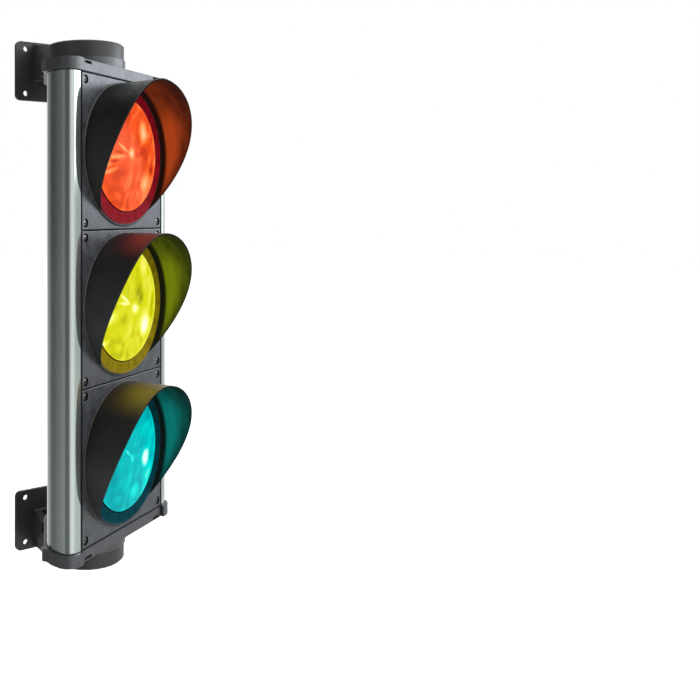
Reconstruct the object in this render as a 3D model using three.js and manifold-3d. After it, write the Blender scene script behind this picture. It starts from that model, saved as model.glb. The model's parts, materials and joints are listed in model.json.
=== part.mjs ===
// A three-lamp traffic signal head on two swivel wall brackets, in millimetres, +Z up.
// The wall is the plane Y = 0 and the signal stands in front of it, towards -Y.
// The origin is the centre of the bottom bracket's wall plate, on its back face.
import * as THREE from "three";
import { mergeVertices } from "three/addons/utils/BufferGeometryUtils.js";
import Module from "manifold-3d";

const wasm = await Module();
wasm.setup();

// Driving dimensions. Depths are measured back from the front face of the panels.
const HALF_TURN = Math.PI;
const LAMPS = ["red", "yellow", "green"];
const MODULE = 150; // height of one lamp module, and width of its panel
const SEAM = 0.8; // gap between panels
const FIT = 0.3; // gap between pieces that touch
const SWIVEL_DEPTH = 47; // the swivel axis lies this far behind the panel face
const SWIVEL_FROM_WALL = 86;
const TURN_AT_REST = 25; // degrees that the head is turned from straight ahead

const HOUSING_END = (LAMPS.length * MODULE) / 2; // half of the profile's length
const HOUSING_WALL = 2.4;
const HALF_WIDTH = 92;
const CORNER_R = 10.6;
const LOBE_R = 40; // round back of the profile, about the swivel axis
const LIP_X = 75.5; // where the front lips of the profile begin
const LEDGE_DEPTH = 12.5; // the panel screws' ledge
const SCREW_INSET = 7; // panel screws, in from the panel's edges
const PORT_SPOTS = [
  [85.2, -33.5],
  [52, 4.5],
]; // end-cap screw ports, mirrored to the other side

const CAP_TOP = HOUSING_END + 12;
const CAP_LIP = HOUSING_END + FIT; // foot of the cap's skirt, round its gasket
const CAP_FLOOR = HOUSING_END + 1.1;
const CAP_GROW = 3.2;
const BASE_R = 41.5; // drum under the bracket's cup
const BASE_TOP = HOUSING_END + 22.6;
const JOURNAL_R = 35.5;
const JOURNAL_TOP = HOUSING_END + 32;
const CUP_R = 40;
const CUP_TOP = HOUSING_END + 39;
const CUP_ROOF = 4.5;

const PLATE_X = 80;
const PLATE_Z = 65;
const PLATE_T = 4;
const PLATE_CENTRE = HOUSING_END + 22.5;
const WALL_HOLE_R = 3.25;
const WALL_HOLE_X = 28;
const WALL_HOLE_Z = 24.5;

const VISOR_R = 71.6;
const VISOR_WALL = 1.6;
const VISOR_LENGTH = 48.6; // at the crown
const OPENING_R = 68.5;
const COLLAR_FRONT = -3.4;
const LENS_R = 57; // the bright face, inside its ribbed ring
const LENS_RISE = 4;
const LENS_EDGE = -3.5; // depth of the face's edge

// Facets round a full circle, by how much of the piece shows.
const DRUM_FACETS = 28;
const LAMP_FACETS = 28;
const VISOR_FACETS = 32;
const HIDDEN_FACETS = 12;
const SMALL_FACETS = 8;
const BORE_FACETS = 6;

// ---------------------------------------------------------------- solids
function toSolid(geometry) {
  const bare = geometry.clone();
  bare.deleteAttribute("normal");
  bare.deleteAttribute("uv");
  const merged = mergeVertices(bare, 1e-4);
  const vertProperties = merged.attributes.position.array;
  const triVerts = new Uint32Array(merged.index.array);
  const solid = new wasm.Manifold(new wasm.Mesh({ numProp: 3, vertProperties, triVerts }));
  if (solid.volume() > 0) return solid;
  triVerts.reverse();
  return new wasm.Manifold(new wasm.Mesh({ numProp: 3, vertProperties, triVerts }));
}

function toGeometry(solid) {
  const { vertProperties, triVerts } = solid.getMesh();
  const geometry = new THREE.BufferGeometry();
  geometry.setAttribute("position", new THREE.BufferAttribute(vertProperties, 3));
  geometry.setIndex(new THREE.BufferAttribute(triVerts, 1));
  geometry.computeVertexNormals();
  return geometry;
}

const union = (solids) => solids.reduce((a, b) => a.add(b));

// The stretch from a to b to the right of the middle, or its mirror image.
const toSide = (side, a, b) => [Math.min(side * a, side * b), Math.max(side * a, side * b)];

function box(x, y, z) {
  const geometry = new THREE.BoxGeometry(x[1] - x[0], y[1] - y[0], z[1] - z[0]);
  geometry.translate((x[0] + x[1]) / 2, (y[0] + y[1]) / 2, (z[0] + z[1]) / 2);
  return toSolid(geometry);
}

// A shape in the XY plane, stretched from z0 to z1.
function prism(shape, z0, z1, curveSegments = 12) {
  const options = { depth: z1 - z0, bevelEnabled: false, curveSegments };
  const geometry = new THREE.ExtrudeGeometry(shape, options);
  return toSolid(geometry.translate(0, 0, z0));
}

// A revolved piece about the vertical line through x, y. Profile points are [radius, z].
function turned(profile, segments = 32, x = 0, y = 0) {
  const points = profile.map(([r, z]) => new THREE.Vector2(r, z));
  const geometry = new THREE.LatheGeometry([...points, points[0]], segments);
  return toSolid(geometry.rotateX(Math.PI / 2).translate(x, y, 0));
}

// A revolved piece of the lamp module. Profile points are [radius, depth].
function turnedForward(profile, segments = 48, x = 0, z = 0) {
  const points = profile.map(([r, depth]) => new THREE.Vector2(r, depth));
  const geometry = new THREE.LatheGeometry([...points, points[0]], segments);
  return toSolid(geometry.translate(x, 0, z));
}

const post = (r, z0, z1, x = 0, y = 0, segments = 24) =>
  turned([[0, z0], [r, z0], [r, z1], [0, z1]], segments, x, y);

function roundedPlate(width, height, radius, holes = []) {
  const [w, h] = [width / 2 - radius, height / 2 - radius];
  const shape = new THREE.Shape();
  shape.absarc(w, h, radius, 0, Math.PI / 2);
  shape.absarc(-w, h, radius, Math.PI / 2, Math.PI);
  shape.absarc(-w, -h, radius, Math.PI, 1.5 * Math.PI);
  shape.absarc(w, -h, radius, 1.5 * Math.PI, 2 * Math.PI);
  for (const [x, y, r] of holes) {
    const hole = new THREE.Path();
    hole.absarc(x, y, r, 0, 2 * Math.PI);
    shape.holes.push(hole);
  }
  return shape;
}

// ---------------------------------------------------------------- materials
const material = (color, roughness, metalness = 0) =>
  new THREE.MeshStandardMaterial({ color, roughness, metalness });
const ALUMINIUM = material(0x9aa39b, 0.32, 0.9);
const BRACKET_BLACK = material(0x2e2d2c, 0.55);
const CAP_BLACK = material(0x37363a, 0.5);
const PANEL_GREY = material(0x4d4f57, 0.6);
const VISOR_BLACK = material(0x222222, 0.45);
const STEEL = material(0x9b9b98, 0.35, 1);
const BLACK_STEEL = material(0x1c1c1e, 0.45, 0.6);
const RUBBER = material(0x151515, 0.85);
const REFLECTOR = material(0xd9dadb, 0.15, 1);
const HOLDER_WHITE = material(0xe6e3da, 0.5);
const LENS_COLOUR = { red: 0xf04a1e, yellow: 0xd8d800, green: 0x00c8c0 };

function piece(name, solid, look) {
  const mesh = new THREE.Mesh(toGeometry(solid), look);
  mesh.name = name;
  return mesh;
}

// ---------------------------------------------------------------- housing profile
// Outline of the extruded profile, seen from above, as points about the swivel axis.
function housingOutline() {
  const front = -SWIVEL_DEPTH;
  const cornerX = HALF_WIDTH - CORNER_R;
  const shoulder = new THREE.Vector2(77, -8); // where the side turns into the sloping back
  const reach = Math.acos(LOBE_R / shoulder.length());
  const tangent = shoulder.angle() - 2 * HALF_TURN + reach;
  const shape = new THREE.Shape();
  shape.moveTo(0, front);
  shape.lineTo(cornerX, front);
  shape.absarc(cornerX, front + CORNER_R, CORNER_R, -HALF_TURN / 2, 0);
  shape.quadraticCurveTo(HALF_WIDTH, -27, 86, -16);
  shape.quadraticCurveTo(82.5, -11.5, shoulder.x, shoulder.y);
  shape.absarc(0, 0, LOBE_R, tangent, HALF_TURN / 2);
  const half = shape.getPoints(2);
  const mirrored = half.slice(1, -1).map((p) => new THREE.Vector2(-p.x, p.y));
  return [...half, ...mirrored.reverse()];
}

// The same outline moved outwards by a distance, or inwards by a negative one.
function offsetOutline(points, distance) {
  return points.map((p, i) => {
    const before = points[(i + points.length - 1) % points.length];
    const after = points[(i + 1) % points.length];
    const a = p.clone().sub(before).normalize();
    const b = after.clone().sub(p).normalize();
    const normal = new THREE.Vector2(a.y + b.y, -a.x - b.x).normalize();
    const stretch = normal.dot(new THREE.Vector2(a.y, -a.x));
    return p.clone().addScaledVector(normal, distance / stretch);
  });
}

const OUTLINE = housingOutline();
const outlinePrism = (grow, z0, z1) =>
  prism(new THREE.Shape(offsetOutline(OUTLINE, grow)), z0, z1);
const atDepth = (...depths) => depths.map((d) => d - SWIVEL_DEPTH);

function sideRails(side) {
  const screwX = MODULE / 2 - SCREW_INSET;
  const length = [-HOUSING_END + FIT, HOUSING_END - FIT];
  const ledge = box(toSide(side, 63, 90), atDepth(LEDGE_DEPTH, LEDGE_DEPTH + 2.2), length);
  const lipWeb = box(toSide(side, LIP_X, LIP_X + 1.8), atDepth(0, LEDGE_DEPTH + 1), length);
  const [low, high] = [screwX - 3.5, screwX + 3.5];
  const channel = box(toSide(side, low, high), atDepth(LEDGE_DEPTH, 25), length);
  const inside = toSide(side, low + 1.6, high - 1.6);
  const groove = box(inside, atDepth(LEDGE_DEPTH - 1, 23.4), length);
  return union([ledge, lipWeb, channel]).subtract(groove);
}

function housingExtrusion() {
  const ends = [-HOUSING_END + FIT, HOUSING_END - FIT];
  const past = [-HOUSING_END - 1, HOUSING_END + 1];
  let body = outlinePrism(0, ...ends).subtract(outlinePrism(-HOUSING_WALL, ...past));
  body = body.subtract(box([-LIP_X, LIP_X], atDepth(-1, HOUSING_WALL + 1), past));
  body = union([body, sideRails(1), sideRails(-1)]);
  for (const side of [-1, 1]) {
    for (const [x, y] of PORT_SPOTS) {
      body = body.add(post(4.5, ...ends, side * x, y, SMALL_FACETS));
      body = body.subtract(post(1.9, ...past, side * x, y, BORE_FACETS));
    }
  }
  return body.intersect(outlinePrism(0, ...ends));
}

// ---------------------------------------------------------------- end caps
function capGasket() {
  const ring = outlinePrism(-0.5, HOUSING_END, HOUSING_END + 0.8);
  return ring.subtract(outlinePrism(-HOUSING_WALL, HOUSING_END - 1, HOUSING_END + 2));
}

function capShell() {
  let shell = outlinePrism(CAP_GROW, CAP_LIP, CAP_TOP);
  for (const side of [-1, 1]) {
    shell = shell.add(post(4, CAP_LIP, CAP_TOP, side * 86.5, -14, HIDDEN_FACETS));
  }
  shell = shell.subtract(outlinePrism(0.4, CAP_LIP - 1, CAP_FLOOR));
  shell = shell.subtract(outlinePrism(-6, CAP_FLOOR - 1, CAP_TOP - 4));
  const front = [-SWIVEL_DEPTH - 20, -SWIVEL_DEPTH];
  return shell.subtract(box([-LIP_X, LIP_X], front, [CAP_LIP - 1, CAP_TOP + 1]));
}

function capFrontSlots(side) {
  const slot = box(toSide(side, 73.6, 75.6), atDepth(-2, 1.6), [CAP_LIP - 1, CAP_TOP + 1]);
  const notch = box(toSide(side, 58, 70), atDepth(-2, 3.5), [CAP_TOP - 3.8, CAP_TOP - 1]);
  return slot.add(notch);
}

function endCap(boltHoleR) {
  const web = JOURNAL_TOP - 4;
  const hollowR = 31;
  const drum = turned(
    [[hollowR, CAP_TOP - 4], [BASE_R, CAP_TOP - 4], [BASE_R, BASE_TOP], [JOURNAL_R, BASE_TOP],
      [JOURNAL_R, JOURNAL_TOP], [boltHoleR, JOURNAL_TOP], [boltHoleR, web], [hollowR, web]],
    DRUM_FACETS);
  const opening = post(hollowR + 1, CAP_LIP, CAP_TOP + 1, 0, 0, DRUM_FACETS);
  let cap = capShell().subtract(opening).add(drum);
  for (const side of [-1, 1]) {
    for (const [x, y] of PORT_SPOTS) {
      cap = cap.add(post(5.4, CAP_FLOOR, CAP_TOP - 1, side * x, y, SMALL_FACETS));
      cap = cap.subtract(post(4.1, CAP_FLOOR + 4, CAP_TOP + 1, side * x, y, SMALL_FACETS));
      cap = cap.subtract(post(1.9, CAP_FLOOR - 1, CAP_TOP + 1, side * x, y, BORE_FACETS));
    }
    cap = cap.subtract(capFrontSlots(side));
  }
  return cap;
}

function capScrew([x, y]) {
  const seat = CAP_FLOOR + 4 + FIT;
  const tip = HOUSING_END - 18;
  return turned(
    [[0, tip], [1.6, tip], [1.6, seat], [3.6, seat], [3.2, seat + 2.4], [0, seat + 2.4]],
    BORE_FACETS, x, y);
}

// ---------------------------------------------------------------- wall brackets
function bracketArm() {
  const root = SWIVEL_FROM_WALL - PLATE_T + 1;
  const rootX = 17;
  const sideR = CUP_R - 0.3; // the arm's sides run on to the cup
  const reach = Math.acos(sideR / Math.hypot(rootX, root));
  const touch = Math.atan2(root, rootX) - reach;
  const [touchX, touchY] = [sideR * Math.cos(touch), sideR * Math.sin(touch)];
  const plan = new THREE.Shape();
  plan.moveTo(rootX, root);
  plan.lineTo(-rootX, root);
  plan.lineTo(-touchX, touchY);
  plan.lineTo(0, -10);
  plan.lineTo(touchX, touchY);
  const inner = HOUSING_END + 13.2; // clear of the end cap as it turns under the arm
  const side = new THREE.Shape();
  side.moveTo(-CUP_R, BASE_TOP + FIT);
  side.lineTo(BASE_R + 0.8, BASE_TOP + FIT);
  side.lineTo(BASE_R + 0.8, inner);
  side.lineTo(root - 5, inner);
  side.lineTo(root, HOUSING_END + 9);
  side.lineTo(root, HOUSING_END + 53);
  side.quadraticCurveTo(CUP_R, CUP_TOP + 4, touchY, CUP_TOP);
  side.lineTo(-CUP_R, CUP_TOP);
  const options = { depth: 2 * CUP_R, bevelEnabled: false, curveSegments: 4 };
  const wall = new THREE.ExtrudeGeometry(side, options).translate(0, 0, -CUP_R);
  wall.rotateY(HALF_TURN / 2).rotateX(HALF_TURN / 2);
  return prism(plan, BASE_TOP - 20, CUP_TOP + 20).intersect(toSolid(wall));
}

// The hollow side of the arm, open towards the head, with one rib left along the middle.
function armPocket() {
  const near = CUP_R + 4;
  const far = SWIVEL_FROM_WALL - PLATE_T - 5;
  const half = new THREE.Shape();
  half.moveTo(1.5, near);
  half.lineTo(1.5, far);
  half.lineTo(11, far);
  half.lineTo(20, near);
  const pocket = prism(half, HOUSING_END, CUP_TOP - CUP_ROOF);
  return pocket.add(pocket.mirror([1, 0, 0]));
}

function wallPlate() {
  const holes = [[1, 1], [1, -1], [-1, -1], [-1, 1]].map(([x, z]) => [
    x * WALL_HOLE_X, z * WALL_HOLE_Z, WALL_HOLE_R]);
  const shape = roundedPlate(PLATE_X, PLATE_Z, 6, holes);
  const options = { depth: PLATE_T, bevelEnabled: false, curveSegments: 4 };
  const plate = new THREE.ExtrudeGeometry(shape, options).rotateX(HALF_TURN / 2);
  const solid = toSolid(plate.translate(0, SWIVEL_FROM_WALL, PLATE_CENTRE));
  const pad = box([-18.5, 18.5], [SWIVEL_FROM_WALL - 6, SWIVEL_FROM_WALL - 2],
    [HOUSING_END + 9, HOUSING_END + 53.5]);
  return solid.add(pad);
}

function wallBracket(boltHoleR, headRecessR) {
  const bevel = 1.5;
  const cup = turned(
    [[0, BASE_TOP + FIT], [CUP_R, BASE_TOP + FIT], [CUP_R, CUP_TOP - bevel],
      [CUP_R - bevel, CUP_TOP], [0, CUP_TOP]], DRUM_FACETS);
  const bore = post(JOURNAL_R + 0.4, BASE_TOP - 30, CUP_TOP - CUP_ROOF, 0, 0, DRUM_FACETS);
  const recess = post(headRecessR, CUP_TOP - 2.5, CUP_TOP + 5, 0, 0, 2 * SMALL_FACETS);
  const boltHole = post(boltHoleR, CUP_TOP - 20, CUP_TOP + 1, 0, 0, HIDDEN_FACETS);
  const solid = union([bracketArm(), cup, wallPlate()]);
  return solid.subtract(union([bore, armPocket(), recess, boltHole]));
}

function frictionWasher(holeR) {
  const [low, high] = [JOURNAL_TOP + FIT, CUP_TOP - CUP_ROOF - FIT];
  return turned([[holeR, low], [30, low], [30, high], [holeR, high]], HIDDEN_FACETS);
}

function swivelBolt() {
  const seat = CUP_TOP - 2.5 + FIT;
  const tip = JOURNAL_TOP - 15;
  return turned(
    [[0, tip], [4, tip], [5, tip + 1], [5, seat], [9, seat], [9, seat + 2], [6.5, seat + 4.6],
      [0, seat + 5.4]], 12);
}

function hexNut(acrossFlats, holeR, height) {
  const top = JOURNAL_TOP - 4 - FIT;
  const outside = post(acrossFlats / Math.sqrt(3), top - height, top, 0, 0, 6);
  return outside.subtract(post(holeR, top - 20, top + 1, 0, 0, HIDDEN_FACETS));
}

function hollowStud() {
  const seat = CUP_TOP - 2.5 + FIT;
  const tip = JOURNAL_TOP - 15;
  return turned(
    [[8, tip], [10, tip], [10, seat], [14, seat], [14, seat + 1.6], [13.2, seat + 2.4],
      [8, seat + 2.4]], HIDDEN_FACETS);
}

function cableGrommet() {
  const rim = CUP_TOP + 0.6;
  return turned(
    [[3.6, rim - 9], [7.6, rim - 9], [7.7, rim], [10.5, rim], [10.2, rim + 1.4], [5, rim + 3.2],
      [3.6, rim + 3.2]], HIDDEN_FACETS);
}

// ---------------------------------------------------------------- lamp module
const inModule = (solid, index) =>
  solid.translate([0, -SWIVEL_DEPTH, MODULE * (1 - index)]);

function frontPanel() {
  const size = MODULE - SEAM;
  const screw = MODULE / 2 - SCREW_INSET;
  const options = { depth: 3, bevelEnabled: false, curveSegments: 2 };
  const plate = new THREE.ExtrudeGeometry(roundedPlate(size, size, 1.5), options);
  let panel = toSolid(plate.rotateX(HALF_TURN / 2).translate(0, 3, 0));
  const [inner, outer] = [OPENING_R, OPENING_R + 1];
  const opening = [[0, -1], [inner, -1], [inner, 4], [0, 4]];
  panel = panel.subtract(turnedForward(opening, LAMP_FACETS));
  const collar = [[inner, COLLAR_FRONT], [outer, COLLAR_FRONT], [outer, 2], [inner, 2]];
  panel = panel.add(turnedForward(collar, LAMP_FACETS));
  const seat = [[71.8, 2], [73.4, 2], [73.4, 10.5], [71.8, 10.5]];
  panel = panel.add(turnedForward(seat, LAMP_FACETS / 2));
  for (const [x, z] of [[1, 1], [1, -1], [-1, -1], [-1, 1]]) {
    const boss = [[0, 2], [4.4, 2], [4.4, LEDGE_DEPTH - FIT], [0, LEDGE_DEPTH - FIT]];
    panel = panel.add(turnedForward(boss, BORE_FACETS, screw * x, screw * z));
    const bore = [[0, 1], [1.9, 1], [1.9, 20], [0, 20]];
    panel = panel.subtract(turnedForward(bore, BORE_FACETS, screw * x, screw * z));
    const sunk = [[0, -1], [4, -1], [4, 2], [0, 2]];
    panel = panel.subtract(turnedForward(sunk, SMALL_FACETS, screw * x, screw * z));
  }
  return panel;
}

function panelScrew(sideX, sideZ) {
  const at = MODULE / 2 - SCREW_INSET;
  const tip = LEDGE_DEPTH + 9;
  const profile = [[0, 0.3], [3, 0.5], [3.4, 2 - FIT], [1.6, 2 - FIT], [1.6, tip], [0, tip]];
  return turnedForward(profile, BORE_FACETS, sideX * at, sideZ * at);
}

// How far the visor reaches forward at a height above the lamp's centre.
function visorReach(z) {
  const s = z / VISOR_R;
  return Math.max(3, VISOR_LENGTH * (0.6535 + 0.6766 * s - 0.2285 * s * s - 0.1027 * s * s * s));
}

function visor() {
  const inner = VISOR_R - VISOR_WALL;
  const base = -FIT;
  const far = -VISOR_LENGTH - 5;
  const tube = turnedForward(
    [[inner, base], [VISOR_R + 1.6, base], [VISOR_R, base - 1.8], [VISOR_R, far], [inner, far]],
    VISOR_FACETS);
  const limit = VISOR_R + 6;
  const side = new THREE.Shape();
  side.moveTo(5, -limit);
  const steps = 14;
  for (let i = 0; i <= steps; i++) {
    const z = VISOR_R * Math.sin(HALF_TURN * (i / steps - 0.5));
    side.lineTo(-visorReach(z), i === 0 ? -limit : z);
  }
  side.lineTo(-VISOR_LENGTH, limit);
  side.lineTo(5, limit);
  const options = { depth: 2 * limit, bevelEnabled: false };
  const keep = new THREE.ExtrudeGeometry(side, options).translate(0, 0, -limit);
  keep.rotateY(HALF_TURN / 2).rotateX(HALF_TURN / 2);
  return tube.intersect(toSolid(keep));
}

function domePoints(radius, rise, depth, steps) {
  const points = [];
  for (let i = 0; i <= steps; i++) {
    const s = i / steps;
    points.push([radius * s, depth - rise * (1 - s * s)]);
  }
  return points;
}

function lens() {
  const thick = 2.4;
  const front = domePoints(LENS_R, LENS_RISE, LENS_EDGE, 2);
  const back = domePoints(LENS_R, LENS_RISE, LENS_EDGE + thick, 1).reverse();
  const ringR = OPENING_R - FIT;
  const ring = [[LENS_R + 0.6, LENS_EDGE + 0.5], [ringR, LENS_EDGE + 0.5]];
  const flange = [[ringR, 3 + FIT], [69.8, 3 + FIT], [69.8, 5.2], [66.5, 5.2], [66.5, -0.8]];
  return turnedForward([...front, ...ring, ...flange, ...back], LAMP_FACETS);
}

const lensSeal = () =>
  turnedForward([[65.5, 5.5], [69.6, 5.5], [69.6, 7.4], [65.5, 7.4]], HIDDEN_FACETS);

function reflector() {
  const [rimDepth, backDepth, neckR] = [8, 42, 11];
  const bowlR = 61.5;
  const wall = 1.4;
  const steps = 3;
  const inside = [];
  for (let i = 0; i <= steps; i++) {
    const r = bowlR + (neckR - bowlR) * (i / steps);
    const rise = (r * r - neckR * neckR) / (bowlR * bowlR - neckR * neckR);
    inside.push([r, backDepth - (backDepth - rimDepth) * rise]);
  }
  const outside = inside.map(([r, depth]) => [r + wall * 0.7, depth + wall]).reverse();
  return turnedForward([[69.4, rimDepth - 0.3], ...inside, ...outside, [69.4, rimDepth + 1.2]],
    HIDDEN_FACETS);
}

function ledLamp() {
  return turnedForward(
    [[0, 26], [5, 27], [9, 32], [9, 47], [7, 47], [7, 56], [0, 56]], SMALL_FACETS);
}

function lampHolder() {
  return turnedForward(
    [[9.4, 44], [17, 44], [17, 50], [13, 53], [13, 62], [0, 62], [0, 59], [9.4, 59]], SMALL_FACETS);
}

// A supply lead from the back of one lamp holder down to the terminal block.
function lampLead(index) {
  const x = 14 * (index - 1);
  const start = MODULE * (1 - index);
  const [holderBack, runDepth, blockTop] = [62.3, 74, -183.5];
  const route = new THREE.CatmullRomCurve3([
    new THREE.Vector3(x / 2, holderBack - SWIVEL_DEPTH, start),
    new THREE.Vector3(x / 2, holderBack + 8 - SWIVEL_DEPTH, start - 1),
    new THREE.Vector3(x, runDepth - SWIVEL_DEPTH, start - 18),
    new THREE.Vector3(x, runDepth - SWIVEL_DEPTH, (start - 18 + blockTop) / 2),
    new THREE.Vector3(x, runDepth - SWIVEL_DEPTH, blockTop),
  ], false, "centripetal");
  const section = new THREE.Shape().absarc(0, 0, 1.6, 0, 2 * HALF_TURN);
  const options = { extrudePath: route, steps: 10, bevelEnabled: false, curveSegments: 3 };
  return toSolid(new THREE.ExtrudeGeometry(section, options));
}

function terminalBlock() {
  const [low, high] = [-206, -184];
  let block = box([-19, 19], [17, 31], [low, high]);
  for (const x of [-14, 0, 14]) {
    const hole = [[0, 12], [2.6, 12], [2.6, 21], [0, 21]];
    block = block.subtract(turnedForward(hole, SMALL_FACETS, x, -195));
  }
  return block;
}

// ---------------------------------------------------------------- assembly
const signal = new THREE.Group();
const onAxis = new THREE.Group();
onAxis.position.set(0, -SWIVEL_FROM_WALL, PLATE_CENTRE);
signal.add(onAxis);
const head = new THREE.Group();
head.rotation.z = THREE.MathUtils.degToRad(TURN_AT_REST);
onAxis.add(head);

// The bottom end is the top end turned over, about the line from the wall to the front.
function turnedOver(parent) {
  const group = new THREE.Group();
  group.rotation.y = HALF_TURN;
  parent.add(group);
  return group;
}

const STUD_HOLE = 10.4;
const BOLT_HOLE = 5.4;

function addEnd(end, fixed, moving, holeR, recessR) {
  fixed.add(piece(end + "_wall_bracket", wallBracket(holeR, recessR), BRACKET_BLACK));
  fixed.add(piece(end + "_friction_washer", frictionWasher(holeR), RUBBER));
  moving.add(piece(end + "_end_cap", endCap(holeR), CAP_BLACK));
  moving.add(piece(end + "_cap_gasket", capGasket(), RUBBER));
  const [front, rear] = PORT_SPOTS;
  const spots = { front_left: front, front_right: front, rear_left: rear, rear_right: rear };
  for (const [place, [x, y]] of Object.entries(spots)) {
    const toLeft = place.endsWith("left") === (end === "top");
    const screw = capScrew([toLeft ? -x : x, y]);
    moving.add(piece(`${end}_cap_screw_${place}`, screw, STEEL));
  }
}

function addModule(colour, index) {
  const add = (name, solid, look) =>
    head.add(piece(`${name}_${colour}`, inModule(solid, index), look));
  add("front_panel", frontPanel(), PANEL_GREY);
  add("visor", visor(), VISOR_BLACK);
  add("lens", lens(), material(LENS_COLOUR[colour], 0.2));
  add("lens_seal", lensSeal(), RUBBER);
  add("reflector", reflector(), REFLECTOR);
  add("led_lamp", ledLamp(), HOLDER_WHITE);
  add("lamp_holder", lampHolder(), HOLDER_WHITE);
  head.add(piece(`lamp_lead_${colour}`, lampLead(index), material(LENS_COLOUR[colour], 0.5)));
  const corners = { upper_left: [-1, 1], upper_right: [1, 1], lower_left: [-1, -1],
    lower_right: [1, -1] };
  for (const [place, sides] of Object.entries(corners)) {
    const name = `panel_screw_${colour}_${place}`;
    head.add(piece(name, inModule(panelScrew(...sides), index), BLACK_STEEL));
  }
}

head.add(piece("housing_extrusion", housingExtrusion(), ALUMINIUM));
addEnd("top", onAxis, head, BOLT_HOLE, 10);
addEnd("bottom", turnedOver(onAxis), turnedOver(head), STUD_HOLE, 15);
onAxis.add(piece("top_swivel_bolt", swivelBolt(), STEEL));
onAxis.add(piece("top_swivel_nut", hexNut(17, BOLT_HOLE, 8), STEEL));
const below = turnedOver(onAxis);
below.add(piece("bottom_hollow_stud", hollowStud(), STEEL));
below.add(piece("bottom_stud_nut", hexNut(30, STUD_HOLE, 6), STEEL));
below.add(piece("cable_grommet", cableGrommet(), RUBBER));
LAMPS.forEach(addModule);
head.add(piece("terminal_block", terminalBlock(), HOLDER_WHITE));

export default signal;
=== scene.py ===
"""A three-lamp traffic signal head on two swivel wall brackets, lit, in a plain pale studio."""

import json
import math

import bmesh
import bpy
from mathutils import Matrix, Vector


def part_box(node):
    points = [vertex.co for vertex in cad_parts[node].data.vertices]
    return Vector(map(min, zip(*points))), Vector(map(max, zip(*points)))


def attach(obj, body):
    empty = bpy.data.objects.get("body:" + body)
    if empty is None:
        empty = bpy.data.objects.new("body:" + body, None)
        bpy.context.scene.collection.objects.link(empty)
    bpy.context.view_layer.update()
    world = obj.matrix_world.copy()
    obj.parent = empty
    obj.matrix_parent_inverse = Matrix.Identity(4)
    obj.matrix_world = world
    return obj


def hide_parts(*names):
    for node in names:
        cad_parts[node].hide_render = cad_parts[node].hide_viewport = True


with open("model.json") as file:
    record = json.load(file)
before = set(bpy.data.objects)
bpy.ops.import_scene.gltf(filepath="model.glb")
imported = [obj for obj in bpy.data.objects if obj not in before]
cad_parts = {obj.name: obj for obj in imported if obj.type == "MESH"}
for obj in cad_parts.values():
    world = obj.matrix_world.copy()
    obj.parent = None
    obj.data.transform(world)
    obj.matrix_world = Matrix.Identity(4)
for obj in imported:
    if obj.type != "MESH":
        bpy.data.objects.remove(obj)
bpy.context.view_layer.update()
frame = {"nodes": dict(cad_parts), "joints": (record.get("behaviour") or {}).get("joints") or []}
scene = bpy.context.scene

# ------------------------------------------------------------------ sizes, in metres
MM = 0.001
COLOURS = ("red", "yellow", "green")
FIXED, HEAD = "wall_brackets", "head"
SWIVEL = Vector(frame["joints"][0]["pos_m"])
TURN = math.radians(25)
FACE_DEPTH = 47 * MM  # from the panel face back to the swivel axis
HEAD_PLACE = Matrix.Translation(SWIVEL) @ Matrix.Rotation(TURN, 4, "Z")
SCREW_AT = 68 * MM  # panel screws, from the lamp's centre both ways
SCREW_SPOTS = [(x * SCREW_AT, z * SCREW_AT) for x in (-1, 1) for z in (-1, 1)]
PANEL_HALF = 74.6 * MM
PANEL_THICK = 3 * MM
POCKET_R = 4.1 * MM  # sunk seat of a panel screw
LIP_X = 75.5 * MM  # where the profile's front lips begin
SEAM_SHADE_END = LIP_X + 1.2 * MM  # outer side of the black strip on each lip, painted shade for the seam beside the panel
COLLAR_IN, COLLAR_OUT = 68.5 * MM, 69.5 * MM  # radii of the collar round each lens
COLLAR_FRONT = -3.4 * MM

VISOR_R = 71.6 * MM  # outside of a hood
VISOR_WALL = 1.6 * MM
VISOR_LENGTH = 48.6 * MM
REACH_TERMS = (0.6535, 0.6766, -0.2285, -0.1027)  # the rim's curve, by height over VISOR_R
LOWEST_REACH = 1.8 * MM  # of the rim, at the foot of the hood
CROWN_FLARE = {"red": 0.9 * MM, "yellow": 0.0, "green": -0.3 * MM}  # rise of each rim's crown
LENS_R = 57 * MM  # the bright face, inside its ribbed ring
LENS_RISE = 4 * MM
LENS_EDGE = -3.5 * MM  # depth of the face's edge
RING_R = 68.2 * MM  # outside of the ribbed ring
LIT_FROM = 10.0 * MM  # the lamp's light is painted on the hood's lining from here forward


def lamp_height(colour):
    low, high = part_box("front_panel_" + colour)
    return (low.z + high.z) / 2


def lamp_place(colour):
    """From a lamp's own frame, X right, Y back from the panel face, Z up, to the object's."""
    middle = Vector((0, -FACE_DEPTH, lamp_height(colour) - SWIVEL.z))
    return HEAD_PLACE @ Matrix.Translation(middle)


# ------------------------------------------------------------------ camera
CAMERA_FROM_SWIVEL = Vector((-457.0, -775.8, 95.0)) * MM
CAMERA_YAW = math.radians(-31.81)
CAMERA_LENS = 44.55  # mm, on a 36 mm sensor
CAMERA_SHIFT = (0.3494, -0.2009)


def make_camera():
    data = bpy.data.cameras.new("signal_camera")
    data.sensor_width = 36
    data.lens = CAMERA_LENS
    data.shift_x, data.shift_y = CAMERA_SHIFT
    camera = bpy.data.objects.new("signal_camera", data)
    camera.location = SWIVEL + CAMERA_FROM_SWIVEL
    camera.rotation_euler = (math.pi / 2, 0, CAMERA_YAW)
    scene.collection.objects.link(camera)
    scene.camera = camera


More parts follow.
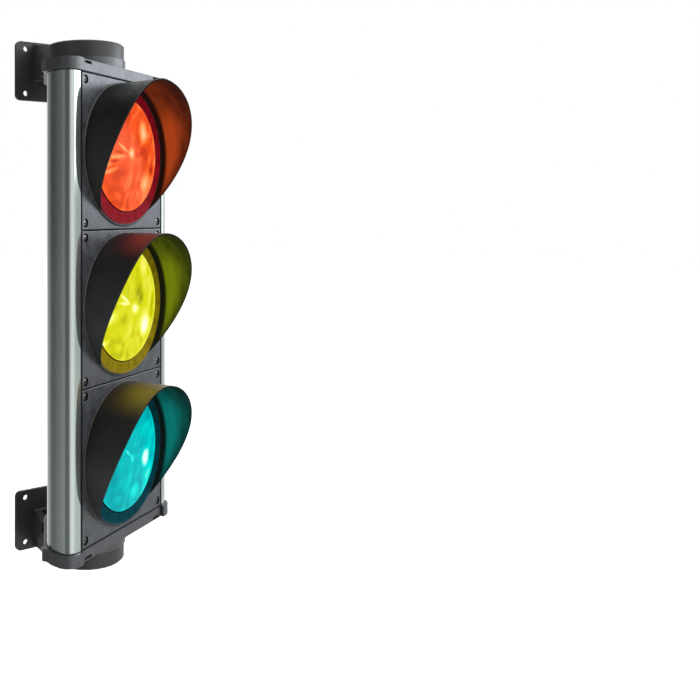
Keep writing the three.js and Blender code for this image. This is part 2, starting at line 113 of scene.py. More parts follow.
# ------------------------------------------------------------------ material nodes
def new_material(name, **sockets):
    """A Principled material. Keyword names are socket names with _ for each space."""
    material = bpy.data.materials.new(name)
    material.use_nodes = True
    shader = material.node_tree.nodes["Principled BSDF"]
    for key, value in sockets.items():
        shader.inputs[key.replace("_", " ")].default_value = value
    return material


def add_node(material, kind, **settings):
    node = material.node_tree.nodes.new("ShaderNode" + kind)
    for key, value in settings.items():
        setattr(node, key, value)
    return node


def link(material, output, target):
    material.node_tree.links.new(output, target)


def shader_input(material, name):
    return material.node_tree.nodes["Principled BSDF"].inputs[name]


def coordinates(material, place=None, scale=(1, 1, 1)):
    """Object coordinates, carried into the frame that place leads out of, then stretched."""
    source = add_node(material, "TexCoord").outputs["Object"]
    if place is not None:
        inverse = place.inverted()
        moved = add_node(material, "Mapping", vector_type="POINT")
        moved.inputs["Location"].default_value = inverse.translation
        moved.inputs["Rotation"].default_value = inverse.to_euler()
        link(material, source, moved.inputs["Vector"])
        source = moved.outputs["Vector"]
    if tuple(scale) != (1, 1, 1):
        stretched = add_node(material, "Mapping", vector_type="POINT")
        stretched.inputs["Scale"].default_value = scale
        link(material, source, stretched.inputs["Vector"])
        source = stretched.outputs["Vector"]
    return source


def noise(material, vector, scale, detail=3, distortion=0.0):
    node = add_node(material, "TexNoise")
    node.inputs["Scale"].default_value = scale
    node.inputs["Detail"].default_value = detail
    node.inputs["Distortion"].default_value = distortion
    link(material, vector, node.inputs["Vector"])
    return node.outputs["Fac"]


def ramp(material, factor, stops):
    """stops are (position, colour or grey level)."""
    node = add_node(material, "ValToRGB")
    elements = node.color_ramp.elements
    while len(elements) < len(stops):
        elements.new(0.5)
    for element, (position, colour) in zip(elements, stops):
        element.position = position
        if isinstance(colour, (int, float)):
            colour = (colour, colour, colour)
        element.color = (*colour, 1)
    link(material, factor, node.inputs["Fac"])
    return node.outputs["Color"]


def spread(material, value, low, high, to_low=0.0, to_high=1.0):
    """A smooth step from to_low at low to to_high at high."""
    node = add_node(material, "MapRange", interpolation_type="SMOOTHSTEP")
    for name, number in zip(("From Min", "From Max", "To Min", "To Max"),
                            (low, high, to_low, to_high)):
        node.inputs[name].default_value = number
    link(material, value, node.inputs["Value"])
    return node.outputs["Result"]


def maths(material, operation, *values):
    node = add_node(material, "Math", operation=operation)
    for socket, value in zip(node.inputs, values):
        if isinstance(value, (int, float)):
            socket.default_value = value
        else:
            link(material, value, socket)
    return node.outputs["Value"]


def tinted(material, factor, colour_a, colour_b):
    """A mix of two colours, all of the second where the factor is 1."""
    node = add_node(material, "Mix", data_type="RGBA")
    for name, value in (("Factor", factor), ("A", colour_a), ("B", colour_b)):
        socket = next(s for s in node.inputs if s.name == name and s.enabled)
        if isinstance(value, tuple):
            socket.default_value = (*value, 1)
        elif isinstance(value, (int, float)):
            socket.default_value = value
        else:
            link(material, value, socket)
    return next(s for s in node.outputs if s.enabled)


def along(material, vector, axis):
    """One part of a vector: X, Y or Z."""
    parts = add_node(material, "SeparateXYZ")
    link(material, vector, parts.inputs[0])
    return parts.outputs[axis]


def bump(material, height, strength, distance):
    node = add_node(material, "Bump")
    node.inputs["Strength"].default_value = strength
    node.inputs["Distance"].default_value = distance
    link(material, height, node.inputs["Height"])
    link(material, node.outputs["Normal"], shader_input(material, "Normal"))


# ------------------------------------------------------------------ materials
def moulded(name, dark, light, roughness=(0.42, 0.6), grain=900, relief=0.12, specular=0.35,
            cloud=35):
    """Moulded plastic: cloudy colour, fine spark grain, gloss that varies a little."""
    material = new_material(name, Specular_IOR_Level=specular)
    where = coordinates(material)
    clouds = noise(material, where, cloud, 5)
    link(material, ramp(material, clouds, [(0.3, dark), (0.7, light)]),
         shader_input(material, "Base Color"))
    wear = noise(material, where, 120, 4)
    link(material, spread(material, wear, 0.3, 0.7, *roughness), shader_input(material, "Roughness"))
    bump(material, noise(material, where, grain, 2), relief, 0.2 * MM)
    return material


def anodised_aluminium():
    """Satin anodised extrusion, with faint lengthwise lines left by the die."""
    material = new_material("anodised_aluminium", Metallic=0.93)
    lengthwise = coordinates(material, HEAD_PLACE, (1, 1, 0.004))
    lines = noise(material, lengthwise, 900, 3)
    clouds = noise(material, coordinates(material), 14, 3)
    shade = tinted(material, 0.6, lines, clouds)
    link(material, ramp(material, shade, [(0.3, (0.64, 0.71, 0.665)), (0.7, (0.72, 0.78, 0.74))]),
         shader_input(material, "Base Color"))
    link(material, spread(material, clouds, 0.3, 0.7, 0.09, 0.13), shader_input(material, "Roughness"))
    bump(material, lines, 0.02, 0.05 * MM)
    return material


def plated_steel(name, base, roughness=(0.25, 0.42)):
    material = new_material(name, Metallic=1.0)
    where = coordinates(material)
    spots = noise(material, where, 260, 4)
    darker = tuple(0.7 * c for c in base)
    link(material, ramp(material, spots, [(0.3, darker), (0.7, base)]),
         shader_input(material, "Base Color"))
    link(material, spread(material, spots, 0.3, 0.7, *roughness), shader_input(material, "Roughness"))
    bump(material, noise(material, where, 1500, 2), 0.08, 0.1 * MM)
    return material


def rubber():
    material = new_material("black_rubber", Specular_IOR_Level=0.3)
    where = coordinates(material)
    # tone_shift here is a dusty mottle on the rubber
    tone_shift = noise(material, where, 220, 5)
    link(material, ramp(material, tone_shift, [(0.35, 0.010), (0.75, 0.028)]),
         shader_input(material, "Base Color"))
    link(material, spread(material, tone_shift, 0.3, 0.7, 0.7, 0.9), shader_input(material, "Roughness"))
    bump(material, tone_shift, 0.15, 0.2 * MM)
    return material


# Colours of each lamp's light on its lens and ring, of the light painted on its collar, its hood's
# lining (hood) and the hood below (spill), and the painted highlights and
# painted dark patches on its face: x, z, half length, half width (mm), tilt (degrees) and strength, from
# the front with the lamp's centre at 0, 0.
GLOW = {
    "red": dict(deep=(0.40, 0.020, 0.004), mid=(0.90, 0.092, 0.015), bright=(0.98, 0.29, 0.078),
                hot=(1.0, 0.66, 0.38), ring=(0.27, 0.005, 0.014), hood=(0.37, 0.046, 0.006),
                spill=None, turn=0.6, painted_glints=(
                    (-13, 6.5, 15, 1.9, 154, 0.34), (-24, -3, 20, 2.8, 186, 0.26),
                    (-41, -11, 15, 4.0, 190, 0.30), (-40, -19, 24, 2.8, 195, 0.26),
                    (3, 1.5, 7, 7.0, 60, 0.46), (28, 25, 15, 11, 80, 0.38),
                    (32, -28, 20, 13, 75, 0.26), (31, -2, 26, 13, 88, -0.13),
                    (44, 12, 18, 7, 80, -0.16), (46, -13, 12, 6, 70, -0.18),
                    (-20, -20, 18, 10, 30, -0.10), (-30, -8, 12, 2.4, 190, -0.20),
                    (-20, 1.5, 12, 1.8, 172, -0.14))),
    "yellow": dict(deep=(0.30, 0.32, 0.002), mid=(0.66, 0.67, 0.006), bright=(0.86, 0.86, 0.10),
                   hot=(0.98, 1.0, 0.72), ring=(0.25, 0.19, 0.003), hood=(0.15, 0.19, 0.001),
                   spill=(0.060, 0.009, 0.011), turn=2.4, painted_glints=(
                       (-9, 5.5, 12, 2.0, 149, 0.44), (-10, 1.0, 12, 2.0, 173, 0.36),
                       (10, -5, 8, 7, -50, 0.38), (31, -23, 16, 13, 75, 0.50),
                       (31, 37, 15, 12, 80, 0.28), (-36, -12, 15, 6.5, 19, 0.38),
                       (-45, -36, 13, 4, 15, 0.28), (14, 9, 12, 9, 60, -0.09),
                       (-34, -1, 12, 4, 10, -0.20), (22, 6, 18, 7, 85, -0.14),
                       (48, -4, 18, 6, 85, -0.14), (-12, -14, 10, 6, 30, -0.12))),
    "green": dict(deep=(0.0, 0.25, 0.29), mid=(0.0, 0.46, 0.475), bright=(0.0, 0.76, 0.68),
                  hot=(0.72, 1.0, 0.90), ring=(0.0, 0.045, 0.062), hood=(0.0, 0.155, 0.135),
                  spill=(0.105, 0.070, 0.008), turn=4.1, painted_glints=(
                      (-4, 1, 9, 1.7, 141, 0.30), (4, -6, 6, 4, -60, 0.20),
                      (32, -12, 12, 10, 78, 0.66), (11, -41, 10, 10, 60, 0.22),
                      (38, -32, 22, 8, 62, 0.22), (16, 19, 16, 12, 70, 0.08),
                      (-28, -18, 16, 10, 60, -0.14), (-46, -30, 14, 8, 40, -0.12),
                      (43, 30, 16, 9, 100, -0.10))),
}


def polar(material, where):
    """Radius from the lamp's axis, and a vector that only turns with the angle round it."""
    flat = add_node(material, "VectorMath", operation="MULTIPLY")
    flat.inputs[1].default_value = (1, 0, 1)
    link(material, where, flat.inputs[0])
    length = add_node(material, "VectorMath", operation="LENGTH")
    link(material, flat.outputs["Vector"], length.inputs[0])
    unit = add_node(material, "VectorMath", operation="NORMALIZE")
    link(material, flat.outputs["Vector"], unit.inputs[0])
    return length.outputs["Value"], unit.outputs["Vector"]


def painted_glint(material, where, x, z, length, width, tilt, strength):
    """A soft streak of painted highlight on a lamp's face, or of painted shade where the strength is
    below 0.
    """
    local = add_node(material, "Mapping", vector_type="TEXTURE")
    local.inputs["Location"].default_value = (x * MM, 0, z * MM)
    local.inputs["Rotation"].default_value = (0, -math.radians(tilt), 0)
    local.inputs["Scale"].default_value = (length * MM, 1, width * MM)
    link(material, where, local.inputs["Vector"])
    reach = add_node(material, "VectorMath", operation="LENGTH")
    link(material, local.outputs["Vector"], reach.inputs[0])
    return spread(material, reach.outputs["Value"], 0.0, 1.2, strength, 0.0)


def glowing_lens(colour):
    """A lit lens: streaks thrown by the reflector behind it, patches, painted highlights and painted
    dark patches, and a deeper edge.
    """
    tints = GLOW[colour]
    material = new_material("lens_lit_" + colour, Roughness=0.3, Emission_Strength=1.0,
                            Specular_IOR_Level=0.04)
    where = coordinates(material, lamp_place(colour))
    radius, direction = polar(material, where)
    turned = add_node(material, "VectorMath", operation="ADD")
    turned.inputs[1].default_value = (tints["turn"], tints["turn"], 0)
    link(material, direction, turned.inputs[0])
    rays = noise(material, turned.outputs["Vector"], 3.4, 3, 0.6)
    patches = noise(material, where, 34, 2, 1.4)
    near_axis = spread(material, radius, 4 * MM, 50 * MM, 0.34, 0.08)
    mixed = add_node(material, "Mix", data_type="FLOAT")
    link(material, near_axis, mixed.inputs[0])
    link(material, patches, mixed.inputs[2])
    link(material, rays, mixed.inputs[3])
    level = maths(material, "MULTIPLY_ADD", mixed.outputs[0], 0.6, 0.2)
    # painted highlights and painted dark patches laid over the lamp's glow, for the reflector's bright
    # spots seen through the lens
    for shape in tints["painted_glints"]:
        level = maths(material, "ADD", level, painted_glint(material, where, *shape))
    level = maths(material, "ADD", level, spread(material, radius, 50 * MM, LENS_R, 0.0, 0.06))
    colours = ramp(material, level, [(0.30, tints["deep"]), (0.50, tints["mid"]),
                                     (0.70, tints["bright"]), (0.98, tints["hot"])])
    link(material, colours, shader_input(material, "Emission Color"))
    link(material, tinted(material, 0.9, colours, (0, 0, 0)), shader_input(material, "Base Color"))
    bump(material, rays, 0.05, 1 * MM)
    return material


def tinted_ring(colour):
    """The ribbed ring round a lens: deep coloured plastic with a little light carried into it, painted
    brighter low down and with painted shade along its inner edge.
    """
    tints = GLOW[colour]
    material = new_material("lens_rim_" + colour, Roughness=0.45, Specular_IOR_Level=0.03)
    where = coordinates(material, lamp_place(colour))
    radius, direction = polar(material, where)
    marks = noise(material, direction, 9, 4)
    rib_pitch = 3.7 * MM
    ribs = maths(material, "SINE", maths(material, "MULTIPLY", radius, 2 * math.pi / rib_pitch))
    level = maths(material, "MULTIPLY_ADD", ribs, 0.06, marks)
    # painted shade along the ring's inner edge, beside the face
    inner = spread(material, radius, LENS_R + 0.2 * MM, LENS_R + 2.0 * MM, 0.12, 1.0)
    # painted light: the ring glows brighter low down
    lower = spread(material, along(material, where, "Z"), -58 * MM, 10 * MM, 0.66, 0.46)
    darker = tuple(0.4 * c for c in tints["ring"])
    lighter = tuple(1.3 * c for c in tints["ring"])
    colours = ramp(material, level, [(0.1, darker), (0.9, lighter)])
    colours = tinted(material, inner, (0, 0, 0), colours)
    link(material, colours, shader_input(material, "Emission Color"))
    link(material, lower, shader_input(material, "Emission Strength"))
    link(material, tinted(material, 0.6, colours, (0, 0, 0)), shader_input(material, "Base Color"))
    bump(material, noise(material, where, 700, 2), 0.1, 0.2 * MM)
    return material


def lamp_collar(colour):
    """The black collar round a lens, with the ring's light painted along its bottom as a glow."""
    material = moulded("collar_black_" + colour, (0.009, 0.009, 0.009), (0.016, 0.016, 0.016),
                       (0.5, 0.6), 1100)
    height = along(material, coordinates(material, lamp_place(colour)), "Z")
    # painted light, strongest along the bottom of the collar
    low = spread(material, height, -62 * MM, -35 * MM, 1.0, 0.0)
    painted_ring_light = tuple(0.8 * c for c in GLOW[colour]["ring"])
    link(material, tinted(material, low, (0, 0, 0), painted_ring_light), shader_input(material, "Emission Color"))
    shader_input(material, "Emission Strength").default_value = 1.0
    return material


def lit_hood_lining(colour):
    """The inside of a hood: black plastic with a painted reflection of the lamp's light, glowing from a
    soft line forward.
    """
    tints = GLOW[colour]
    material = new_material("hood_lining_" + colour, Roughness=0.6, Emission_Strength=1.0,
                            Specular_IOR_Level=0.04)
    where = coordinates(material, lamp_place(colour))
    height = along(material, where, "Z")
    forward = maths(material, "MULTIPLY", along(material, where, "Y"), -1.0)
    # painted light: from a soft line forward, in upright bands, fading towards the rim and darker under
    # the crown
    start = spread(material, forward, LIT_FROM - 2.4 * MM, LIT_FROM + 2.4 * MM)
    upright = coordinates(material, lamp_place(colour), (0.35, 1.0, 0.12))
    bands = spread(material, noise(material, upright, 110, 2), 0.3, 0.7, 0.62, 1.25)
    by_radius = maths(material, "DIVIDE", height, VISOR_R)
    reach = REACH_TERMS[-1]
    for term in reversed(REACH_TERMS[:-1]):
        reach = maths(material, "MULTIPLY_ADD", by_radius, reach, term)
    share = maths(material, "DIVIDE", maths(material, "DIVIDE", forward, VISOR_LENGTH), reach)
    fade = spread(material, share, 0.42, 1.02, 1.0, 0.2)
    under_crown = spread(material, height, 18 * MM, 0.97 * VISOR_R, 1.0, 0.26)
    level = maths(material, "MULTIPLY", maths(material, "MULTIPLY", start, fade), bands)
    level = maths(material, "MULTIPLY", level, under_crown)
    dark = tuple(0.03 * c for c in tints["hood"])
    colours = tinted(material, level, dark, tints["hood"])
    link(material, colours, shader_input(material, "Emission Color"))
    link(material, ramp(material, bands, [(0.0, 0.005), (1.0, 0.009)]),
         shader_input(material, "Base Color"))
    bump(material, noise(material, where, 900, 2), 0.1, 0.2 * MM)
    return material


def hood_black(colour):
    """The outside of a hood: lighter low down and darker towards the top, with a painted wash of light
    from the lamp above it.
    """
    spill = GLOW[colour]["spill"]
    # hoods below another lamp get a lighter grey: painted light from the lamp above
    shade = 0.034 if spill else 0.018
    material = moulded("hood_black_" + colour, (0.8 * shade,) * 3, (1.2 * shade,) * 3,
                       (0.34, 0.46), 1100, 0.08, 0.45)
    where = coordinates(material, lamp_place(colour))
    height = along(material, where, "Z")
    base = shader_input(material, "Base Color")
    clouds = base.links[0].from_socket
    # darker towards the top
    tone_shift = spread(material, height, -35 * MM, 45 * MM, 0.0, 0.72)
    link(material, tinted(material, tone_shift, clouds, (0, 0, 0)), base)
    if spill:
        # painted wash of light from the lamp above, over the hood's upper front
        forward = maths(material, "MULTIPLY", along(material, where, "Y"), -1.0)
        high = spread(material, height, 46 * MM, VISOR_R)
        far = spread(material, forward, 2 * MM, 42 * MM, 0.12, 1.0)
        level = maths(material, "MULTIPLY", high, far)
        link(material, tinted(material, level, (0, 0, 0), spill),
             shader_input(material, "Emission Color"))
        shader_input(material, "Emission Strength").default_value = 1.0
    return material


def bright_reflector():
    material = new_material("metallised_reflector", Metallic=1.0)
    where = coordinates(material)
    haze = noise(material, where, 70, 3)
    link(material, ramp(material, haze, [(0.3, 0.7), (0.7, 0.85)]), shader_input(material, "Base Color"))
    link(material, spread(material, haze, 0.3, 0.7, 0.08, 0.18), shader_input(material, "Roughness"))
    bump(material, noise(material, where, 300, 2), 0.05, 0.3 * MM)
    return material


make_camera()
BRACKET_BLACK = moulded("bracket_black", (0.026, 0.0255, 0.025), (0.044, 0.043, 0.042),
                        (0.36, 0.48), 900, 0.12, 0.5)
CAP_BLACK = moulded("cap_black", (0.032, 0.033, 0.037), (0.054, 0.056, 0.062), (0.28, 0.38), 700,
                    0.12, 1.0)
PANEL_GREY = moulded("panel_grey", (0.026, 0.028, 0.033), (0.058, 0.062, 0.072), (0.25, 0.39), 650,
                     0.12, 1.0, 90)
# painted highlight: a lighter grey for the bead at a hood's foot and the rim's left edge
HOOD_EDGE_HIGHLIGHT = moulded("hood_edge_highlight", (0.046, 0.046, 0.043), (0.085, 0.085, 0.08), (0.32, 0.42), 1100,
                    0.1, 0.6)
# painted shade: near-black for screw sockets, screw pockets and seats, panel seams and shaded hood rims
SHADE_BLACK = moulded("painted_shade_black", (0.003, 0.003, 0.003), (0.006, 0.006, 0.006), (0.8, 0.9), 900,
                       0.12, 0.1)
ALUMINIUM = anodised_aluminium()
STEEL = plated_steel("zinc_steel", (0.52, 0.52, 0.50))
BLACK_STEEL = plated_steel("black_steel", (0.25, 0.255, 0.27), (0.35, 0.5))
RUBBER = rubber()
REFLECTOR = bright_reflector()
LAMP_WHITE = moulded("lamp_white", (0.74, 0.72, 0.68), (0.85, 0.84, 0.8), (0.3, 0.4), 400, 0.05)
IVORY = moulded("ivory_plastic", (0.58, 0.56, 0.48), (0.72, 0.70, 0.62), (0.4, 0.55), 500, 0.08)
LEAD = {
    "red": moulded("lead_red", (0.45, 0.02, 0.015), (0.6, 0.04, 0.03), (0.3, 0.4), 400, 0.03),
    "yellow": moulded("lead_yellow", (0.55, 0.45, 0.02), (0.7, 0.6, 0.03), (0.3, 0.4), 400, 0.03),
    "green": moulded("lead_green", (0.02, 0.28, 0.07), (0.03, 0.4, 0.1), (0.3, 0.4), 400, 0.03),
}


# ------------------------------------------------------------------ mesh tools
def from_profile(points, steps=96, closed=True):
    """A solid turned about the lamp's axis. Points are (radius, depth) in metres."""
    mesh = bmesh.new()
    verts = [mesh.verts.new((r, depth, 0)) for r, depth in points]
    pairs = list(zip(verts, verts[1:]))
    if closed:
        pairs.append((verts[-1], verts[0]))
    edges = [mesh.edges.new(pair) for pair in pairs]
    bmesh.ops.spin(mesh, geom=verts + edges, cent=(0, 0, 0), axis=(0, 1, 0), dvec=(0, 0, 0),
                   angle=2 * math.pi, steps=steps, use_merge=True)
    bmesh.ops.remove_doubles(mesh, verts=mesh.verts, dist=1e-6)
    bmesh.ops.recalc_face_normals(mesh, faces=mesh.faces)
    return mesh


def mark_sharp(mesh, angle):
    """Shades a mesh smooth, apart from the edges that turn by more than the angle."""
    for face in mesh.faces:
        face.smooth = True
    for edge in mesh.edges:
        edge.smooth = not (edge.is_manifold and edge.calc_face_angle() > math.radians(angle))


def soften(mesh, width, angle=38):
    """Rounds every edge that turns by more than the angle."""
    edges = [e for e in mesh.edges if e.is_manifold and e.calc_face_angle() > math.radians(angle)]
    bmesh.ops.bevel(mesh, geom=edges, offset=width, offset_type="OFFSET", affect="EDGES",
                    segments=2, profile=0.5, clamp_overlap=True, material=-1)


def add_part(mesh, part, index=0, place=None):
    """Joins a part into a mesh, all in one of its finishes."""
    if place is not None:
        bmesh.ops.transform(part, matrix=place, verts=part.verts)
    for face in part.faces:
        face.material_index = index
    data = bpy.data.meshes.new("part")
    part.to_mesh(data)
    part.free()
    mesh.from_mesh(data)
    bpy.data.meshes.remove(data)


def place_piece(name, mesh, materials, body, node, place=None, sharp=50):
    """Makes an object of a mesh, in place of a CAD node and riding on that node's body."""
    if place is not None:
        bmesh.ops.transform(mesh, matrix=place, verts=mesh.verts)
    mark_sharp(mesh, sharp)
    data = bpy.data.meshes.new(name)
    mesh.to_mesh(data)
    mesh.free()
    for material in materials:
        data.materials.append(material)
    piece = bpy.data.objects.new(name, data)
    scene.collection.objects.link(piece)
    normals = piece.modifiers.new("even_shading", "WEIGHTED_NORMAL")
    normals.keep_sharp = True
    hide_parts(node)
    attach(piece, body)


def softened_copy(node, name, material, body, width, seal=None):
    """A CAD node's own shape with its edges rounded as the mould or the die leaves them.

    seal marks the faces of a second finish, rubber, on the rounded mesh; on the profile these are strips
    painted black as shade in the seams.
    """
    mesh = bmesh.new()
    mesh.from_mesh(frame["nodes"][node].data)
    bmesh.ops.remove_doubles(mesh, verts=mesh.verts, dist=1e-5)
    bmesh.ops.dissolve_limit(mesh, angle_limit=math.radians(0.5), verts=mesh.verts,
                             edges=mesh.edges, use_dissolve_boundaries=False)
    soften(mesh, width)
    materials = [material]
    if seal is not None:
        seal(mesh)
        materials.append(RUBBER)
    place_piece(name, mesh, materials, body, node)


def give(nodes, material):
    """Keeps a CAD node as it is and gives it its finish."""
    for name in nodes:
        slots = frame["nodes"][name].material_slots
        if not slots:
            frame["nodes"][name].data.materials.append(material)
        for entry in slots:
            entry.material = material


# ------------------------------------------------------------------ hoods, lenses, screws
def visor_reach(height):
    """How far forward the hood's rim stands at a height above the lamp's centre."""
    share = sum(term * (height / VISOR_R) ** power for power, term in enumerate(REACH_TERMS))
    return max(LOWEST_REACH, VISOR_LENGTH * share)


def make_hood(colour):
    """A tube with its rim cut to the hood's curve, a bead at its foot and an inner side with painted
    light; the bead and the left of the rim carry a painted highlight, the rest of the rim's edge painted
    shade.
    """
    mesh = bmesh.new()
    around, rows = 144, 10
    middle = VISOR_R - VISOR_WALL / 2
    foot = -0.4 * MM
    bmesh.ops.create_circle(mesh, cap_ends=False, radius=middle, segments=around)
    bmesh.ops.rotate(mesh, cent=(0, 0, 0), matrix=Matrix.Rotation(math.pi / 2, 3, "X"),
                     verts=mesh.verts)
    ring = list(mesh.edges)
    for vert in mesh.verts:
        vert.co.y = foot
    for row in range(1, rows + 1):
        made = bmesh.ops.extrude_edge_only(mesh, edges=ring)["geom"]
        ring = [e for e in made if isinstance(e, bmesh.types.BMEdge)]
        for vert in (v for v in made if isinstance(v, bmesh.types.BMVert)):
            vert.co.y = foot + (-visor_reach(vert.co.z) - foot) * row / rows
    bmesh.ops.recalc_face_normals(mesh, faces=mesh.faces)
    outwards = sum(f.normal.dot(Vector((f.calc_center_median().x, 0, f.calc_center_median().z)))
                   for f in mesh.faces)
    if outwards < 0:
        bmesh.ops.reverse_faces(mesh, faces=mesh.faces)
    bmesh.ops.solidify(mesh, geom=mesh.faces, thickness=VISOR_WALL)
    for vert in mesh.verts:  # the wall is centred on the circle that it grew from
        flat = Vector((vert.co.x, 0, vert.co.z))
        radius = VISOR_R if flat.length > middle - 0.4 * VISOR_WALL else VISOR_R - VISOR_WALL
        vert.co.x, vert.co.z = (flat.normalized() * radius).xz
        if vert.co.z > 0:
            vert.co.z *= 1 + CROWN_FLARE[colour] / VISOR_R * -vert.co.y / VISOR_LENGTH
    soften(mesh, 0.4 * MM, 60)
    for face in mesh.faces:
        centre = face.calc_center_median()
        radial = Vector((centre.x, 0, centre.z))
        facing = face.normal.dot(radial.normalized())
        if facing < -0.8:
            face.material_index = 1
        # the rim's edge: painted highlight on its outer rounding at the left, painted shade black
        # elsewhere
        elif facing < 0.8 and centre.y < -LOWEST_REACH - 1 * MM:
            face.material_index = 2 if centre.x < 0 and facing > 0.15 else 3
    bead = from_profile([(VISOR_R - 0.4 * MM, -0.35 * MM), (VISOR_R + 0.9 * MM, -0.35 * MM),
                         (VISOR_R + 0.9 * MM, -0.8 * MM), (VISOR_R + 0.6 * MM, -1.2 * MM),
                         (VISOR_R - 0.4 * MM, -1.4 * MM)], around)
    # the bead takes the painted highlight
    add_part(mesh, bead, 2)
    finishes = [hood_black(colour), lit_hood_lining(colour), HOOD_EDGE_HIGHLIGHT, SHADE_BLACK]
    place_piece("hood_" + colour, mesh, finishes, HEAD, "visor_" + colour,
                lamp_place(colour), 40)


def make_lens(colour):
    """A domed lens in a ring with fine ribs and small teeth."""
    thick = 2.4 * MM
    seat_r, flange_r = 66.5 * MM, 69.8 * MM  # behind the panel, where the lens sits on its seal
    steps = 14

    def dome(depth, order):
        return [(LENS_R * i / steps, depth - LENS_RISE * (1 - (i / steps) ** 2)) for i in order]

    front = dome(LENS_EDGE, range(steps + 1))
    back = dome(LENS_EDGE + thick, range(steps, -1, -2))
    flat = LENS_EDGE + 0.45 * MM
    rim = [(LENS_R + 0.3 * MM, LENS_EDGE + 0.25 * MM), (LENS_R + 0.5 * MM, LENS_EDGE + 1.4 * MM),
           (LENS_R + 1.1 * MM, LENS_EDGE + 1.4 * MM), (LENS_R + 1.4 * MM, flat),
           (LENS_R + 2.4 * MM, flat - 0.3 * MM), (LENS_R + 3.0 * MM, flat + 0.15 * MM),
           (RING_R - 2.2 * MM, flat + 0.15 * MM), (RING_R - 1.6 * MM, flat - 0.3 * MM),
           (RING_R, flat), (RING_R, 3.3 * MM), (flange_r, 3.3 * MM), (flange_r, 5.2 * MM),
           (seat_r, 5.2 * MM), (seat_r, -0.8 * MM)]
    mesh = from_profile([*front, *rim, *back], 120)
    for face in mesh.faces:
        centre = face.calc_center_median()
        if math.hypot(centre.x, centre.z) > LENS_R + 0.1 * MM:
            face.material_index = 1
    teeth = 90
    size = Matrix.Diagonal((4.2 * MM, 0.5 * MM, 1.6 * MM, 1))
    spot = Matrix.Translation(((LENS_R + RING_R) / 2 + 0.4 * MM, flat + 0.2 * MM, 0))
    for i in range(teeth):
        tooth = bmesh.ops.create_cube(mesh, size=1)["verts"]
        spin = Matrix.Rotation(2 * math.pi * i / teeth, 4, "Y")
        bmesh.ops.transform(mesh, matrix=spin @ spot @ size, verts=tooth)
        for face in {f for v in tooth for f in v.link_faces}:
            face.material_index = 1
    place_piece("lens_dome_" + colour, mesh, [glowing_lens(colour), tinted_ring(colour)], HEAD,
                "lens_" + colour, lamp_place(colour), 40)


def socket_screw(name, node, material, head_r, shank_r, place, top, length, thread=0.8 * MM):
    """A button-head screw along Y, head in front, with a deep socket painted in shade black and a ribbed
    shank.
    """
    socket = 0.36 * head_r
    under = 1.6 * MM
    head = [(0.0, under - 0.2 * MM), (socket, under - 0.2 * MM), (socket, top),
            (0.75 * head_r, top + 0.12 * MM), (0.95 * head_r, top + 0.35 * MM),
            (head_r, top + 0.6 * MM), (head_r, under), (shank_r, under + 0.05 * MM)]
    turns = int((length - 4 * MM) / thread)
    shank = []
    for i in range(turns):
        depth = 3 * MM + i * thread
        shank += [(shank_r, depth), (0.82 * shank_r, depth + thread / 2)]
    mesh = from_profile([*head, *shank, (0.0, length)], 24, closed=False)
    # the socket is painted shade black
    for face in mesh.faces:
        centre = face.calc_center_median()
        if math.hypot(centre.x, centre.z) < 1.02 * socket and centre.y < under:
            face.material_index = 1
    place_piece(name, mesh, [material, SHADE_BLACK], HEAD, node, place, 35)


def make_panel_screws(colour):
    for vertical, z in (("upper", 1), ("lower", -1)):
        for side, x in (("left", -1), ("right", 1)):
            tail = f"{colour}_{vertical}_{side}"
            spot = Matrix.Translation((x * SCREW_AT, 0.1 * MM, z * SCREW_AT))
            socket_screw("screw_" + tail, "panel_screw_" + tail, BLACK_STEEL,
                         3.1 * MM, 1.6 * MM, lamp_place(colour) @ spot, 0.75 * MM, 21 * MM)


def make_cap_screws():
    for end, way in (("top", 1), ("bottom", -1)):
        for place in ("front_left", "front_right", "rear_left", "rear_right"):
            node = f"{end}_cap_screw_{place}"
            low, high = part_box(node)
            head_z = high.z if way > 0 else low.z
            spot = Matrix.Translation(((low.x + high.x) / 2, (low.y + high.y) / 2, head_z))
            stand = Matrix.Rotation(-way * math.pi / 2, 4, "X")
            socket_screw(f"{end}_screw_{place}", node, STEEL, 3.4 * MM, 1.6 * MM,
                         spot @ stand, 0.0, 25.6 * MM)


# ------------------------------------------------------------------ the object
def panel_plate():
    """A square plate with round corners, a round lens opening and four round screw pockets."""
    mesh = bmesh.new()
    bmesh.ops.create_grid(mesh, x_segments=1, y_segments=1, size=PANEL_HALF)
    bmesh.ops.bevel(mesh, geom=mesh.verts[:], offset=1.5 * MM, offset_type="OFFSET",
                    affect="VERTICES", segments=4, profile=0.5, clamp_overlap=True, material=-1)
    bmesh.ops.delete(mesh, geom=mesh.faces[:], context="FACES_ONLY")
    bmesh.ops.create_circle(mesh, cap_ends=False, radius=COLLAR_OUT - 0.2 * MM, segments=144)
    for x, z in SCREW_SPOTS:
        bmesh.ops.create_circle(mesh, cap_ends=False, radius=POCKET_R, segments=32,
                                matrix=Matrix.Translation((x, z, 0)))
    bmesh.ops.triangle_fill(mesh, use_beauty=True, use_dissolve=False, edges=mesh.edges[:])
    back = bmesh.ops.extrude_face_region(mesh, geom=mesh.faces[:])["geom"]
    bmesh.ops.translate(mesh, vec=(0, 0, -PANEL_THICK),
                        verts=[v for v in back if isinstance(v, bmesh.types.BMVert)])
    bmesh.ops.rotate(mesh, cent=(0, 0, 0), matrix=Matrix.Rotation(math.pi / 2, 3, "X"),
                     verts=mesh.verts)
    bmesh.ops.dissolve_limit(mesh, angle_limit=math.radians(0.5), verts=mesh.verts,
                             edges=mesh.edges, use_dissolve_boundaries=False)
    bmesh.ops.recalc_face_normals(mesh, faces=mesh.faces)
    return mesh


